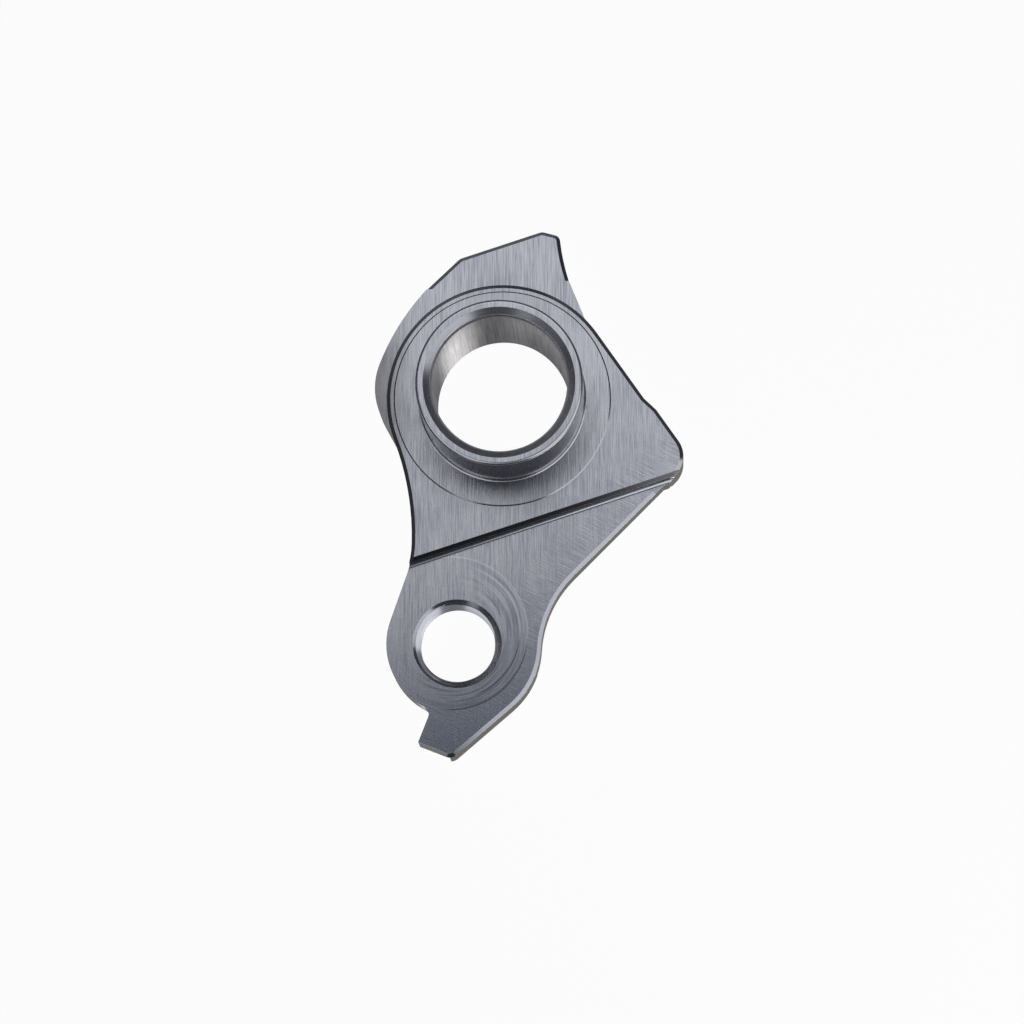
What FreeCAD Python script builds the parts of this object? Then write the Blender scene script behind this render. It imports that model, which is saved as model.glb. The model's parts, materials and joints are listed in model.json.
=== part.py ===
import FreeCAD, Part
import math
import os

import Sketcher

# Bicycle derailleur hanger, milled from one block of aluminium.
# The axle bore stands on the Z axis and the flat back lies on z = 0, so the tubular boss points
# up (+Z), the derailleur eye lies towards -Y and the frame tab towards +Y. Millimetres, degrees.

V = FreeCAD.Vector
UP = V(0, 0, 1)
TOLERANCE = 1e-3
FULL_TURN = 360
SPAN = "(Dims.eye_drop + Dims.tail_reach)"
STEP_REACH = "(Dims.neck_reach - Dims.step_inset)"
LOWER_REACH = "(" + STEP_REACH + " + Dims.step_foot_radius)"
CRESCENT_X = "Dims.crescent_radius - Dims.flange_radius - Dims.crescent_width"
EYE_WALL = "Dims.thread_diameter / 2 + Dims.eye_back_chamfer + Dims.relief_eye_wall"

DIMENSIONS = {
    # Levels above the flat back
    "plate_thickness": 7.8,
    "tab_thickness": 6.8,
    "step_height": 2.0,
    "boss_height": 12.9,
    "relief_depth": 1.2,
    # Axle bore and boss
    "bore_diameter": 16.0,
    "seat_diameter": 16.5,
    "seat_depth": 1.55,
    "boss_diameter": 19.8,
    "boss_mouth_chamfer": 0.75,
    "boss_rim_chamfer": 0.25,
    "boss_foot_radius": 0.3,
    "bore_back_chamfer": 0.4,
    # Turned disc round the boss
    "disc_diameter": 25.8,
    "disc_height": 0.15,
    # Round flange and its straight right edge
    "flange_radius": 13.9,
    "right_edge_angle": 35.3,
    # Corner pad, proud of the right edge and of the neck
    "pad_step": 0.4,
    "pad_start": 17.0,
    "pad_ramp_angle": 11.6,
    "pad_corner_radius": 3.2,
    "pad_foot_step": 0.27,
    # Neck, with the diagonal step set in from its right side
    "neck_angle": 44.8,
    "neck_reach": 20.95,
    "neck_radius": 13.35,
    "step_angle": 18.3,
    "step_inset": 5.65,
    "step_foot_radius": 0.5,
    "shoulder_length": 2.5,
    "shoulder_width": 0.9,
    # Waist on the left
    "waist_radius": 33.0,
    "waist_drop": 16.7,
    "waist_foot_radius": 12.0,
    "eye_side_angle": 19.4,
    # Derailleur eye
    "eye_offset": 5.4,
    "eye_drop": 29.35,
    "eye_left_radius": 8.5,
    "eye_right_radius": 10.05,
    "thread_diameter": 10.0,
    "eye_mouth_chamfer": 0.35,
    "eye_back_chamfer": 0.35,
    # Stop tail below the eye
    "stop_angle": 21.4,
    "stop_notch_radius": 1.0,
    "tail_reach": 13.1,
    "tail_nick": 0.6,
    "tail_side_angle": 49.2,
    "tail_corner_radius": 1.2,
    # Frame tab
    "tab_reach": 4.15,
    "tab_peak_reach": 7.18,
    "tab_peak_angle": 14.8,
    "tab_corner_radius": 1.5,
    "tab_peak_radius": 1.0,
    "tab_tip_radius": 0.8,
    "tab_side_radius": 26.8,
    "tab_side_x": 33.5,
    "tab_side_y": 22.6,
    "tab_side_end": 14.5,
    "tab_root_angle": 22.4,
    "tab_root_length": 7.5,
    "tab_shoulder_angle": 43.6,
    "tab_shoulder_end": 13.5,
    # Crescent beside the flange
    "crescent_width": 1.47,
    "crescent_radius": 8.0,
    "crescent_rise": 1.5,
    "crescent_back_radius": 28.5,
    "crescent_back_drop": 5.8,
    "crescent_foot_angle": 28.5,
    "crescent_foot_length": 6.0,
    # Edge finish
    "edge_chamfer": 0.45,
    "back_chamfer": 0.3,
    # Relief milled into the back of the neck
    "relief_gap": 0.2,
    "relief_angle": 35.5,
    "relief_eye_wall": 0.5,
    "relief_corner_radius": 3.0,
}


def make_sheet(doc):
    """Puts every driving dimension into the sheet, one aliased cell each."""
    sheet = doc.addObject("Spreadsheet::Sheet", "Dims")
    for row, (name, value) in enumerate(DIMENSIONS.items(), start=1):
        sheet.set(f"A{row}", name)
        sheet.set(f"B{row}", str(value))
        sheet.setAlias(f"B{row}", name)
    doc.recompute()


def unit(angle):
    """Unit vector in the sketch plane at an angle in degrees from X."""
    return V(math.cos(math.radians(angle)), math.sin(math.radians(angle)), 0)


class Side:
    """Straight side of an outline: angle of its outward normal and distance from a centre."""

    def __init__(self, angle, reach, centre=V(0, 0, 0)):
        self.normal = unit(angle)
        self.reach = reach + self.normal.dot(centre)
        self.along = V(-self.normal.y, self.normal.x, 0)

    def moved(self, distance):
        """The same side shifted outwards."""
        side = Side(0, 0)
        side.normal = self.normal
        side.along = self.along
        side.reach = self.reach + distance
        return side

    def meet(self, other):
        """Point where two sides cross."""
        det = self.normal.x * other.normal.y - self.normal.y * other.normal.x
        x = (self.reach * other.normal.y - other.reach * self.normal.y) / det
        y = (self.normal.x * other.reach - other.normal.x * self.reach) / det
        return V(x, y, 0)

    def at_x(self, x):
        """Point of the side at a given X."""
        return V(x, (self.reach - self.normal.x * x) / self.normal.y, 0)

    def foot(self, point):
        """Nearest point of the side to a point."""
        return point + self.normal * (self.reach - self.normal.dot(point))

    def cross_circle(self, centre, radius, forward):
        """Where the side crosses a circle, at its far end along the side or at its near end."""
        foot = self.foot(centre)
        half = math.sqrt(radius ** 2 - (foot - centre).Length ** 2)
        return foot + self.along * (half if forward else -half)


def on_circle(centre, radius, y, left):
    """Point of a circle at a given Y, on its left or its right half."""
    half = math.sqrt(radius ** 2 - (y - centre.y) ** 2)
    return V(centre.x + (-half if left else half), y, 0)


def towards(start, goal, distance):
    """Point at a distance from a start on the line to a goal."""
    return start + (goal - start).normalize() * distance


class Outline:
    """Closed sketch outline, drawn anticlockwise with the solid on its left."""

    def __init__(self, body, name, plane="XY_Plane", level=None):
        self.sketch = body.newObject("Sketcher::SketchObject", name)
        origin = [item for item in body.Origin.OriginFeatures if item.Role == plane][0]
        self.sketch.AttachmentSupport = [(origin, "")]
        self.sketch.MapMode = "FlatFace"
        if level:
            self.sketch.setExpression("AttachmentOffset.Base.z", level)
        self.index = {}
        self.ends = {}
        self.middle = {}

    def line(self, name, start, end, guide=False):
        """Adds a straight stretch, or a guide line that isn't part of the outline."""
        self.index[name] = self.sketch.addGeometry(Part.LineSegment(start, end), guide)
        self.ends[name] = (1, 2)
        self.middle[name] = (start + end) / 2

    def arc(self, name, centre, start, end, hollow=False):
        """Adds a round stretch, bulging outwards or hollow."""
        first, last = (end, start) if hollow else (start, end)
        begin = math.atan2(first.y - centre.y, first.x - centre.x)
        finish = math.atan2(last.y - centre.y, last.x - centre.x)
        if finish < begin:
            finish += math.tau
        curve = Part.ArcOfCircle(Part.Circle(centre, UP, (start - centre).Length), begin, finish)
        self.index[name] = self.sketch.addGeometry(curve, False)
        self.ends[name] = (2, 1) if hollow else (1, 2)
        self.middle[name] = curve.value((begin + finish) / 2)

    def circle(self, name, centre, radius):
        """Adds a full circle."""
        self.index[name] = self.sketch.addGeometry(Part.Circle(centre, UP, radius), False)

    def point(self, name, place, across, up):
        """Adds a guide point and ties its X and Y to the sheet."""
        self.index[name] = self.sketch.addGeometry(Part.Point(place), True)
        self.across(name, 1, across)
        self.up(name, 1, up)

    def close(self, *sharp):
        """Joins each stretch to the next, tangent but for the sharp corners, given by stretch."""
        order = list(self.index)
        for here, there in zip(order, order[1:] + order[:1]):
            kind = "Coincident" if here in sharp else "Tangent"
            self.relate(kind, self.index[here], self.ends[here][1],
                        self.index[there], self.ends[there][0])

    def relate(self, kind, *places):
        """Adds a relation that has no size, such as parallel."""
        self.sketch.addConstraint(Sketcher.Constraint(kind, *places))

    def bind(self, name, kind, expression, *places):
        """Adds a named dimension and ties it to the sheet."""
        value = self.sketch.evalExpression(expression)
        if kind == "Angle":
            value = math.radians(value.Value)
        number = self.sketch.addConstraint(Sketcher.Constraint(kind, *places, value))
        self.sketch.renameConstraint(number, name)
        self.sketch.setExpression("Constraints." + name, expression)

    def radius(self, name, expression):
        """Ties the radius of a round stretch to the sheet."""
        self.bind(name + "_radius", "Radius", expression, self.index[name])

    def angle(self, name, expression):
        """Ties the direction of a straight stretch, in degrees from X, to the sheet."""
        self.bind(name + "_angle", "Angle", "(" + expression + ") * 1 deg", self.index[name])

    def reach(self, name, expression, point=(-1, 1)):
        """Ties the distance of a straight stretch from a point, the origin unless given."""
        self.bind(name + "_reach", "Distance", expression, *point, self.index[name])

    def across(self, name, point, expression):
        """Ties the X of a point of a stretch to the sheet."""
        self.bind(name + "_x", "DistanceX", expression, -1, 1, self.index[name], point)

    def up(self, name, point, expression):
        """Ties the Y of a point of a stretch to the sheet."""
        self.bind(name + "_y", "DistanceY", expression, -1, 1, self.index[name], point)

    def length(self, name, expression):
        """Ties the length of a straight stretch to the sheet."""
        self.bind(name + "_length", "Distance", expression, self.index[name])


class Waist:
    """Hollow left side: a wide arc off the round flange, then a tighter one into a straight."""

    def __init__(self):
        d = DIMENSIONS
        flange_r = d["flange_radius"]
        self.eye = V(-d["eye_offset"], -d["eye_drop"], 0)
        self.side = Side(180 - d["eye_side_angle"], d["eye_left_radius"], self.eye)
        self.radius = d["waist_radius"]
        self.foot_radius = d["waist_foot_radius"]
        self.centre = on_circle(V(0, 0, 0), flange_r + self.radius, -d["waist_drop"], left=True)
        self.foot = self.side.moved(self.foot_radius).cross_circle(
            self.centre, self.radius - self.foot_radius, forward=False)
        self.start = towards(V(0, 0, 0), self.centre, flange_r)
        self.end = towards(self.centre, self.foot, self.radius)
        self.foot_end = self.side.foot(self.foot)


def step_side(beyond=0):
    """The diagonal step, or a line some way beyond it."""
    d = DIMENSIONS
    return Side(d["step_angle"] - 90, d["neck_reach"] - d["step_inset"] + beyond)


def arm_outline(body):
    """Outline of waist, derailleur eye, stop tail and neck, ending inside the head."""
    d = DIMENSIONS
    eye = V(-d["eye_offset"], -d["eye_drop"], 0)
    left_r = d["eye_left_radius"]
    right_r = d["eye_right_radius"]
    neck = Side(-d["neck_angle"], d["neck_reach"])
    step = step_side()
    stop = Side(180 - d["stop_angle"], 0, eye)
    tail = Side(270 - d["stop_angle"], d["tail_reach"], eye)
    tail_side = Side(-d["tail_side_angle"], right_r, eye)

    waist = Waist()
    notch_r = d["stop_notch_radius"]
    notch = stop.moved(notch_r).cross_circle(eye, left_r + notch_r, forward=True)
    neck_r = d["neck_radius"]
    hollow = neck.moved(neck_r).cross_circle(eye, right_r + neck_r, forward=True)
    tip_r = d["tail_corner_radius"]
    tip = tail.moved(-tip_r).meet(tail_side.moved(-tip_r))

    eye_start = waist.side.foot(eye)
    notch_start = towards(eye, notch, left_r)
    notch_end = stop.foot(notch)
    tail_corner = stop.meet(tail)
    nick_start = tail_corner - stop.along * (d["tail_nick"] / math.sqrt(2))
    nick_end = tail_corner + tail.along * (d["tail_nick"] / math.sqrt(2))
    eye_again = tail_side.foot(eye)
    eye_end = towards(eye, hollow, right_r)
    neck_end = neck.meet(step)
    step_middle = step.foot(V(0, 0, 0))

    o = Outline(body, "ArmOutline")
    o.arc("waist_foot", waist.foot, waist.end, waist.foot_end, hollow=True)
    o.line("waist_side", waist.foot_end, eye_start)
    o.arc("eye_left", eye, eye_start, notch_start)
    o.arc("notch", notch, notch_start, notch_end, hollow=True)
    o.line("stop", notch_end, nick_start)
    o.line("nick", nick_start, nick_end)
    o.line("tail", nick_end, tail.foot(tip))
    o.arc("tip", tip, tail.foot(tip), tail_side.foot(tip))
    o.line("tail_side", tail_side.foot(tip), eye_again)
    o.arc("eye_right", eye, eye_again, eye_end)
    o.arc("neck_hollow", hollow, eye_end, neck.foot(hollow), hollow=True)
    o.line("neck", neck.foot(hollow), neck_end)
    o.line("arm_top", neck_end, step_middle)
    o.line("inside", step_middle, waist.end)
    o.close("stop", "nick", "neck", "arm_top", "inside")

    for name, size in (("waist_foot", "waist_foot_radius"),
                       ("eye_left", "eye_left_radius"), ("notch", "stop_notch_radius"),
                       ("tip", "tail_corner_radius"), ("eye_right", "eye_right_radius"),
                       ("neck_hollow", "neck_radius")):
        o.radius(name, "Dims." + size)
    o.relate("Coincident", o.index["eye_right"], 3, o.index["eye_left"], 3)
    o.across("eye_left", 3, "-Dims.eye_offset")
    o.up("eye_left", 3, "-Dims.eye_drop")
    o.line("waist_spoke", waist.centre, waist.end, guide=True)
    o.relate("Coincident", o.index["waist_spoke"], 2, o.index["waist_foot"],
             o.ends["waist_foot"][0])
    o.relate("PointOnObject", o.index["waist_foot"], 3, o.index["waist_spoke"])
    o.length("waist_spoke", "Dims.waist_radius")
    o.up("waist_spoke", 1, "-Dims.waist_drop")
    o.bind("waist_reach", "Distance", "Dims.flange_radius + Dims.waist_radius",
           -1, 1, o.index["waist_spoke"], 1)
    o.angle("waist_side", "-90 - Dims.eye_side_angle")
    o.angle("stop", "-90 - Dims.stop_angle")
    o.relate("PointOnObject", o.index["eye_left"], 3, o.index["stop"])
    o.angle("nick", "-45 - Dims.stop_angle")
    o.length("nick", "Dims.tail_nick")
    o.relate("Perpendicular", o.index["stop"], o.index["tail"])
    o.reach("tail", "Dims.tail_reach", (o.index["eye_left"], 3))
    o.angle("tail_side", "90 - Dims.tail_side_angle")
    o.angle("neck", "90 - Dims.neck_angle")
    o.reach("neck", "Dims.neck_reach")
    o.angle("arm_top", "180 + Dims.step_angle")
    o.reach("arm_top", STEP_REACH)
    o.across("arm_top", 2, STEP_REACH + " * sin(Dims.step_angle * 1 deg)")
    return o


def head_outline(body):
    """Outline of the round flange and the corner pad, down to the foot of the diagonal step."""
    d = DIMENSIONS
    origin = V(0, 0, 0)
    right = Side(d["right_edge_angle"], d["flange_radius"])
    pad = right.moved(d["pad_step"])
    pad_foot = Side(-d["neck_angle"], d["neck_reach"] + d["pad_foot_step"])
    lower = step_side(d["step_foot_radius"])
    waist = Waist()
    corner_r = d["pad_corner_radius"]
    corner = pad_foot.moved(-corner_r).meet(pad.moved(-corner_r))

    side_end = waist.side.foot(waist.eye)
    lower_start = lower.foot(origin)
    lower_end = lower.meet(pad_foot)
    ramp_end = right.at_x(d["pad_start"])
    ramp = Side(d["right_edge_angle"] + d["pad_ramp_angle"], 0, ramp_end)
    ramp_start = ramp.meet(pad)

    o = Outline(body, "HeadOutline")
    o.arc("flange", origin, right.foot(origin), waist.start)
    o.arc("waist", waist.centre, waist.start, waist.end, hollow=True)
    o.arc("waist_foot", waist.foot, waist.end, waist.foot_end, hollow=True)
    o.line("waist_side", waist.foot_end, side_end)
    o.line("inside", side_end, lower_start)
    o.line("lower", lower_start, lower_end)
    o.line("pad_foot", lower_end, pad_foot.foot(corner))
    o.arc("pad_corner", corner, pad_foot.foot(corner), pad.foot(corner))
    o.line("pad", pad.foot(corner), ramp_start)
    o.line("pad_ramp", ramp_start, ramp_end)
    o.line("right", ramp_end, right.foot(origin))
    o.close("waist_side", "inside", "lower", "pad", "pad_ramp")

    o.point("eye", waist.eye, "-Dims.eye_offset", "-Dims.eye_drop")
    o.radius("flange", "Dims.flange_radius")
    o.radius("waist", "Dims.waist_radius")
    o.radius("waist_foot", "Dims.waist_foot_radius")
    o.radius("pad_corner", "Dims.pad_corner_radius")
    o.relate("Coincident", o.index["flange"], 3, -1, 1)
    o.up("waist", 3, "-Dims.waist_drop")
    o.angle("waist_side", "-90 - Dims.eye_side_angle")
    o.reach("waist_side", "Dims.eye_left_radius", (o.index["eye"], 1))
    o.up("waist_side", 2,
         "-Dims.eye_drop + Dims.eye_left_radius * sin(Dims.eye_side_angle * 1 deg)")
    o.angle("lower", "Dims.step_angle")
    o.reach("lower", LOWER_REACH)
    o.across("lower", 1, LOWER_REACH + " * sin(Dims.step_angle * 1 deg)")
    o.angle("pad_foot", "90 - Dims.neck_angle")
    o.reach("pad_foot", "Dims.neck_reach + Dims.pad_foot_step")
    o.relate("Parallel", o.index["pad"], o.index["right"])
    o.reach("pad", "Dims.flange_radius + Dims.pad_step")
    o.angle("right", "90 + Dims.right_edge_angle")
    o.angle("pad_ramp", "90 + Dims.right_edge_angle + Dims.pad_ramp_angle")
    o.across("right", 1, "Dims.pad_start")
    return o


def step_outline(body):
    """Area of the lowered front face: everything beyond the diagonal step."""
    d = DIMENSIONS
    span = d["eye_drop"] + d["tail_reach"]
    step = step_side()
    middle = step.foot(V(0, 0, 0))
    left = middle - step.along * span
    right = middle + step.along * span
    away = step.normal * span

    o = Outline(body, "StepOutline", level="Dims.plate_thickness")
    o.line("step", right, left)
    o.line("step_left", left, left + away)
    o.line("step_far", left + away, right + away)
    o.line("step_right", right + away, right)
    o.close(*o.index)
    o.relate("Perpendicular", o.index["step"], o.index["step_left"])
    o.relate("Perpendicular", o.index["step"], o.index["step_right"])
    o.relate("Parallel", o.index["step"], o.index["step_far"])
    o.angle("step", "180 + Dims.step_angle")
    o.reach("step", STEP_REACH)
    o.reach("step_left", SPAN)
    o.reach("step_right", SPAN)
    o.reach("step_far", STEP_REACH + " + " + SPAN)
    return o


def shoulder_outline(body):
    """Outline of the sharp-edged stretch of the neck between its chamfer and the head."""
    d = DIMENSIONS
    neck = Side(-d["neck_angle"], d["neck_reach"])
    inner = neck.moved(-d["shoulder_width"])
    step = step_side()
    end = neck.meet(step)
    start = end - neck.along * d["shoulder_length"]

    o = Outline(body, "ShoulderOutline")
    o.line("land", start, end)
    o.line("end", end, inner.foot(end))
    o.line("inner", inner.foot(end), inner.foot(start))
    o.line("start", inner.foot(start), start)
    o.close(*o.index)
    o.line("step", end, end - step.along * d["pad_corner_radius"], guide=True)
    o.relate("Coincident", o.index["step"], 1, o.index["land"], 2)
    o.angle("step", "180 + Dims.step_angle")
    o.reach("step", STEP_REACH)
    o.length("step", "Dims.pad_corner_radius")
    o.angle("land", "90 - Dims.neck_angle")
    o.reach("land", "Dims.neck_reach")
    o.length("land", "Dims.shoulder_length")
    o.relate("Perpendicular", o.index["land"], o.index["end"])
    o.relate("Perpendicular", o.index["land"], o.index["start"])
    o.relate("Parallel", o.index["land"], o.index["inner"])
    o.reach("inner", "Dims.neck_reach - Dims.shoulder_width")
    return o


class Crescent:
    """Left side of the low rim: a long back arc off the tab's shoulder, then a tighter one."""

    def __init__(self):
        d = DIMENSIONS
        self.radius = d["crescent_radius"]
        self.back_radius = d["crescent_back_radius"]
        self.centre = V(self.radius - d["flange_radius"] - d["crescent_width"],
                        d["crescent_rise"], 0)
        self.back = on_circle(self.centre, self.back_radius - self.radius,
                              -d["crescent_back_drop"], left=False)
        self.start = on_circle(self.back, self.back_radius, d["tab_shoulder_end"], left=True)
        self.joint = towards(self.back, self.centre, self.back_radius)


def tab_outline(body):
    """Outline of the frame tab with its peak, down to the ends of its two sides."""
    d = DIMENSIONS
    origin = V(0, 0, 0)
    flange_r = d["flange_radius"]
    crescent = Crescent()

    side_r = d["tab_side_radius"]
    side = V(d["tab_side_x"], d["tab_side_y"], 0)
    side_end = on_circle(side, side_r, d["tab_side_end"], left=True)
    peak_side = Side(90 - d["tab_peak_angle"], flange_r + d["tab_peak_reach"])
    top = Side(90 + d["step_angle"], flange_r + d["tab_reach"])
    shoulder = Side(90 + d["tab_shoulder_angle"], 0, crescent.start)

    tip_r = d["tab_tip_radius"]
    tip = peak_side.moved(-tip_r).cross_circle(side, side_r + tip_r, forward=True)
    peak_r = d["tab_peak_radius"]
    peak = peak_side.moved(-peak_r).meet(top.moved(-peak_r))
    corner_r = d["tab_corner_radius"]
    corner = top.moved(-corner_r).meet(shoulder.moved(-corner_r))

    o = Outline(body, "TabOutline")
    o.arc("tab_side", side, side_end, towards(side, tip, side_r), hollow=True)
    o.arc("tab_tip", tip, towards(side, tip, side_r), peak_side.foot(tip))
    o.line("peak_side", peak_side.foot(tip), peak_side.foot(peak))
    o.arc("peak", peak, peak_side.foot(peak), top.foot(peak))
    o.line("top", top.foot(peak), top.foot(corner))
    o.arc("tab_corner", corner, top.foot(corner), shoulder.foot(corner))
    o.line("shoulder", shoulder.foot(corner), crescent.start)
    o.line("inside_left", crescent.start, origin)
    o.line("inside_right", origin, side_end)
    o.close("shoulder", "inside_left", "inside_right")

    for name, size in (("tab_side", "tab_side_radius"), ("tab_tip", "tab_tip_radius"),
                       ("peak", "tab_peak_radius"), ("tab_corner", "tab_corner_radius")):
        o.radius(name, "Dims." + size)
    o.relate("Coincident", o.index["inside_left"], 2, -1, 1)
    o.across("tab_side", 3, "Dims.tab_side_x")
    o.up("tab_side", 3, "Dims.tab_side_y")
    o.up("inside_right", 2, "Dims.tab_side_end")
    o.angle("peak_side", "180 - Dims.tab_peak_angle")
    o.reach("peak_side", "Dims.flange_radius + Dims.tab_peak_reach")
    o.angle("top", "180 + Dims.step_angle")
    o.reach("top", "Dims.flange_radius + Dims.tab_reach")
    o.angle("shoulder", "180 + Dims.tab_shoulder_angle")
    o.up("shoulder", 2, "Dims.tab_shoulder_end")
    o.point("crescent", crescent.centre, CRESCENT_X, "Dims.crescent_rise")
    o.line("back_offset", crescent.centre, crescent.back, guide=True)
    o.relate("Coincident", o.index["back_offset"], 1, o.index["crescent"], 1)
    o.length("back_offset", "Dims.crescent_back_radius - Dims.crescent_radius")
    o.up("back_offset", 2, "-Dims.crescent_back_drop")
    o.line("back_spoke", crescent.back, crescent.start, guide=True)
    o.relate("Coincident", o.index["back_spoke"], 1, o.index["back_offset"], 2)
    o.relate("Coincident", o.index["back_spoke"], 2, o.index["shoulder"], 2)
    o.length("back_spoke", "Dims.crescent_back_radius")
    return o


def crescent_outline(body):
    """Outline of the sharp-edged rim between tab and flange: the tab's root and the crescent."""
    d = DIMENSIONS
    crescent = Crescent()
    side = V(d["tab_side_x"], d["tab_side_y"], 0)
    root_end = on_circle(side, d["tab_side_radius"], d["tab_side_end"], left=True)
    root = Side(d["tab_root_angle"], 0, root_end)
    foot = Side(180 + d["crescent_foot_angle"], crescent.radius, crescent.centre)
    root_start = root_end - root.along * d["tab_root_length"]
    foot_start = foot.foot(crescent.centre)
    foot_end = foot_start + foot.along * d["crescent_foot_length"]

    o = Outline(body, "CrescentOutline")
    o.line("tab_root", root_start, root_end)
    o.line("across_tab", root_end, crescent.start)
    o.arc("crescent_back", crescent.back, crescent.start, crescent.joint)
    o.arc("crescent", crescent.centre, crescent.joint, foot_start)
    o.line("crescent_foot", foot_start, foot_end)
    o.line("inside", foot_end, root_start)
    o.close("tab_root", "across_tab", "crescent_foot", "inside")

    o.radius("crescent_back", "Dims.crescent_back_radius")
    o.radius("crescent", "Dims.crescent_radius")
    o.up("tab_root", 2, "Dims.tab_side_end")
    o.angle("tab_root", "90 + Dims.tab_root_angle")
    o.length("tab_root", "Dims.tab_root_length")
    o.up("across_tab", 2, "Dims.tab_shoulder_end")
    o.up("crescent_back", 3, "-Dims.crescent_back_drop")
    o.across("crescent", 3, CRESCENT_X)
    o.up("crescent", 3, "Dims.crescent_rise")
    o.angle("crescent_foot", "-90 + Dims.crescent_foot_angle")
    o.length("crescent_foot", "Dims.crescent_foot_length")
    o.line("side_spoke", side, root_end, guide=True)
    o.relate("Coincident", o.index["side_spoke"], 2, o.index["tab_root"], 2)
    o.across("side_spoke", 1, "Dims.tab_side_x")
    o.up("side_spoke", 1, "Dims.tab_side_y")
    o.length("side_spoke", "Dims.tab_side_radius")
    return o


def relief_outline(body):
    """Area of the relief in the back of the neck, between the step and the eye."""
    d = DIMENSIONS
    eye = V(-d["eye_offset"], -d["eye_drop"], 0)
    span = d["eye_drop"] + d["tail_reach"]
    eye_wall = d["thread_diameter"] / 2 + d["eye_back_chamfer"] + d["relief_eye_wall"]
    step = step_side()
    upper = Side(90 + d["step_angle"], -step.reach - d["relief_gap"])
    inner = Side(180 + d["relief_angle"], -eye_wall, eye)
    radius = d["relief_corner_radius"]
    centre = upper.moved(-radius).meet(inner.moved(-radius))
    upper_start = upper.foot(centre) - upper.along * span
    inner_end = inner.foot(centre) + inner.along * span

    o = Outline(body, "ReliefOutline")
    o.line("relief_upper", upper_start, upper.foot(centre))
    o.arc("relief_corner", centre, upper.foot(centre), inner.foot(centre))
    o.line("relief_inner", inner.foot(centre), inner_end)
    o.line("relief_outer", inner_end, upper_start)
    o.close("relief_inner", "relief_outer")
    o.point("eye", eye, "-Dims.eye_offset", "-Dims.eye_drop")
    o.radius("relief_corner", "Dims.relief_corner_radius")
    o.angle("relief_upper", "180 + Dims.step_angle")
    o.reach("relief_upper", STEP_REACH + " + Dims.relief_gap")
    o.length("relief_upper", SPAN)
    o.angle("relief_inner", "-90 + Dims.relief_angle")
    o.reach("relief_inner", EYE_WALL, (o.index["eye"], 1))
    o.length("relief_inner", SPAN)
    return o


def boss_profile(body):
    """Half section of the turned boss and of the low disc round it; X is the radius, Y is up."""
    d = DIMENSIONS
    face = d["plate_thickness"]
    disc_top = face + d["disc_height"]
    top = face + d["boss_height"]
    disc_r = d["disc_diameter"] / 2
    boss_r = d["boss_diameter"] / 2
    rim = d["boss_rim_chamfer"]
    foot = d["boss_foot_radius"]
    points = [V(0, 0, 0), V(disc_r + d["disc_height"], 0, 0), V(disc_r + d["disc_height"], face, 0),
              V(disc_r, disc_top, 0), V(boss_r + foot, disc_top, 0)]
    foot_end = V(boss_r, disc_top + foot, 0)
    upper = [foot_end, V(boss_r, top - rim, 0), V(boss_r - rim, top, 0), V(0, top, 0), V(0, 0, 0)]

    o = Outline(body, "BossProfile", plane="XZ_Plane")
    for name, start, end in zip(("base", "disc_wall", "disc_edge", "disc"), points, points[1:]):
        o.line(name, start, end)
    o.arc("foot", V(boss_r + foot, disc_top + foot, 0), points[-1], foot_end, hollow=True)
    for name, start, end in zip(("wall", "rim", "face", "axis"), upper, upper[1:]):
        o.line(name, start, end)
    o.close("base", "disc_wall", "disc_edge", "wall", "rim", "face", "axis")
    for name in ("base", "disc", "face"):
        o.relate("Horizontal", o.index[name])
    for name in ("disc_wall", "wall", "axis"):
        o.relate("Vertical", o.index[name])
    o.relate("Coincident", o.index["base"], 1, -1, 1)
    o.across("disc_wall", 2, "Dims.disc_diameter / 2 + Dims.disc_height")
    o.up("disc_wall", 2, "Dims.plate_thickness")
    o.across("disc", 1, "Dims.disc_diameter / 2")
    o.up("disc", 1, "Dims.plate_thickness + Dims.disc_height")
    o.radius("foot", "Dims.boss_foot_radius")
    o.across("wall", 1, "Dims.boss_diameter / 2")
    o.up("rim", 1, "Dims.plate_thickness + Dims.boss_height - Dims.boss_rim_chamfer")
    o.across("rim", 2, "Dims.boss_diameter / 2 - Dims.boss_rim_chamfer")
    o.up("face", 2, "Dims.plate_thickness + Dims.boss_height")
    return o


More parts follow.
